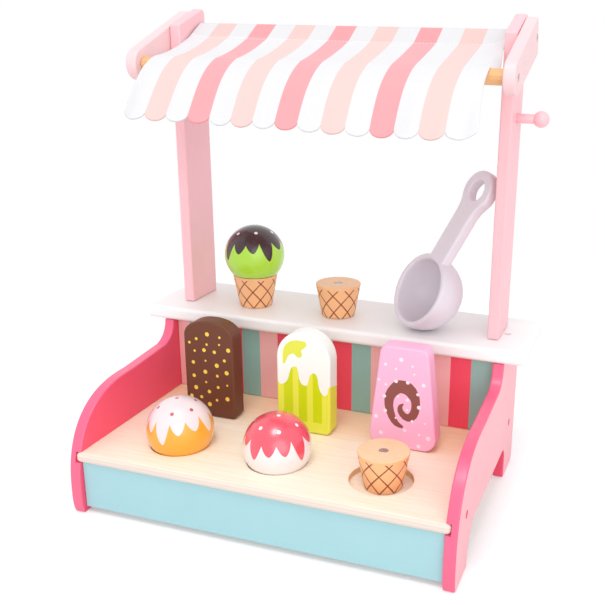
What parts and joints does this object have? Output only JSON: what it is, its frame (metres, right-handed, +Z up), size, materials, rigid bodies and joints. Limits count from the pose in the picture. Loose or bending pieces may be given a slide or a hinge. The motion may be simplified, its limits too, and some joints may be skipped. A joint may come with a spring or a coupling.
{
  "type": "toy ice cream stand",
  "caption": "Small wooden play stand with a counter, a striped cloth canopy on two posts, a display shelf, and loose play cones, scoops, lollies and a ladle.",
  "frame": {"origin": "on the ground, under the middle of the stand's bounding box", "axes": "+X to the stand's right as a customer sees it, +Y to the back, +Z up; the front faces -Y"},
  "size_m": [0.3546, 0.2346, 0.3933],
  "materials": {
    "pink_paint": "satin painted wood",
    "white_paint": "satin painted wood",
    "blue_paint": "satin painted wood",
    "striped_paint": "satin painted stripes on wood",
    "plywood": "clear satin plywood",
    "pine": "plain turned wood",
    "cloth": "plain woven striped cloth",
    "wafer": "satin painted wood",
    "green_paint": "gloss painted wood",
    "orange_paint": "gloss painted wood",
    "red_paint": "gloss painted wood",
    "chocolate_paint": "satin painted wood",
    "lime_paint": "satin painted wood",
    "berry_paint": "satin painted wood",
    "ladle_plastic": "satin moulded plastic",
    "steel": "zinc plated"
  },
  "bodies": {
    "stand": {"left_wall": "pink_paint", "right_wall": "pink_paint", "left_post": "pink_paint", "right_post": "pink_paint", "left_arm": "pink_paint", "right_arm": "pink_paint", "peg": "pink_paint", "counter": "white_paint", "front_board": "blue_paint", "back_board": "striped_paint", "shelf": "plywood", "front_dowel": "pine", "rear_dowel": "pine", "canopy": "cloth", "left_front_shelf_screw": "steel", "left_back_shelf_screw": "steel", "left_counter_screw": "steel", "left_front_post_screw": "steel", "left_back_post_screw": "steel", "left_front_dowel_screw": "steel", "left_rear_dowel_screw": "steel", "right_front_shelf_screw": "steel", "right_back_shelf_screw": "steel", "right_counter_screw": "steel", "right_front_post_screw": "steel", "right_back_post_screw": "steel", "right_front_dowel_screw": "steel", "right_rear_dowel_screw": "steel"},
    "left_cone": {"left_cone": "wafer", "left_cone_magnet": "steel"},
    "middle_cone": {"middle_cone": "wafer", "middle_cone_magnet": "steel"},
    "right_cone": {"right_cone": "wafer", "right_cone_magnet": "steel"},
    "green_scoop": {"green_scoop": "green_paint", "green_scoop_magnet": "steel"},
    "orange_scoop": {"orange_scoop": "orange_paint", "orange_scoop_magnet": "steel"},
    "red_scoop": {"red_scoop": "red_paint", "red_scoop_magnet": "steel"},
    "chocolate_lolly": {"chocolate_lolly": "chocolate_paint"},
    "lime_lolly": {"lime_lolly": "lime_paint"},
    "pink_lolly": {"pink_lolly": "berry_paint"},
    "ladle": {"ladle": "ladle_plastic"}
  },
  "joints": [
    {"name": "left_cone_lift", "type": "slide", "parent": "stand", "child": "left_cone", "axis": [0, 0, 1], "range_m": [0, 0.04]},
    {"name": "middle_cone_lift", "type": "slide", "parent": "stand", "child": "middle_cone", "axis": [0, 0, 1], "range_m": [0, 0.08]},
    {"name": "right_cone_lift", "type": "slide", "parent": "stand", "child": "right_cone", "axis": [0, 0, 1], "range_m": [0, 0.06]},
    {"name": "green_scoop_lift", "type": "slide", "parent": "left_cone", "child": "green_scoop", "axis": [0, 0, 1], "range_m": [0, 0.06]},
    {"name": "orange_scoop_lift", "type": "slide", "parent": "stand", "child": "orange_scoop", "axis": [0, 0, 1], "range_m": [0, 0.06]},
    {"name": "red_scoop_lift", "type": "slide", "parent": "stand", "child": "red_scoop", "axis": [0, 0, 1], "range_m": [0, 0.06]},
    {"name": "chocolate_lolly_lift", "type": "slide", "parent": "stand", "child": "chocolate_lolly", "axis": [0, 0, 1], "range_m": [0, 0.08]},
    {"name": "lime_lolly_lift", "type": "slide", "parent": "stand", "child": "lime_lolly", "axis": [0, 0, 1], "range_m": [0, 0.08]},
    {"name": "pink_lolly_lift", "type": "slide", "parent": "stand", "child": "pink_lolly", "axis": [0, 0, 1], "range_m": [0, 0.08]},
    {"name": "ladle_lift", "type": "slide", "parent": "stand", "child": "ladle", "axis": [0, 0, 1], "range_m": [0, 0.06]}
  ]
}
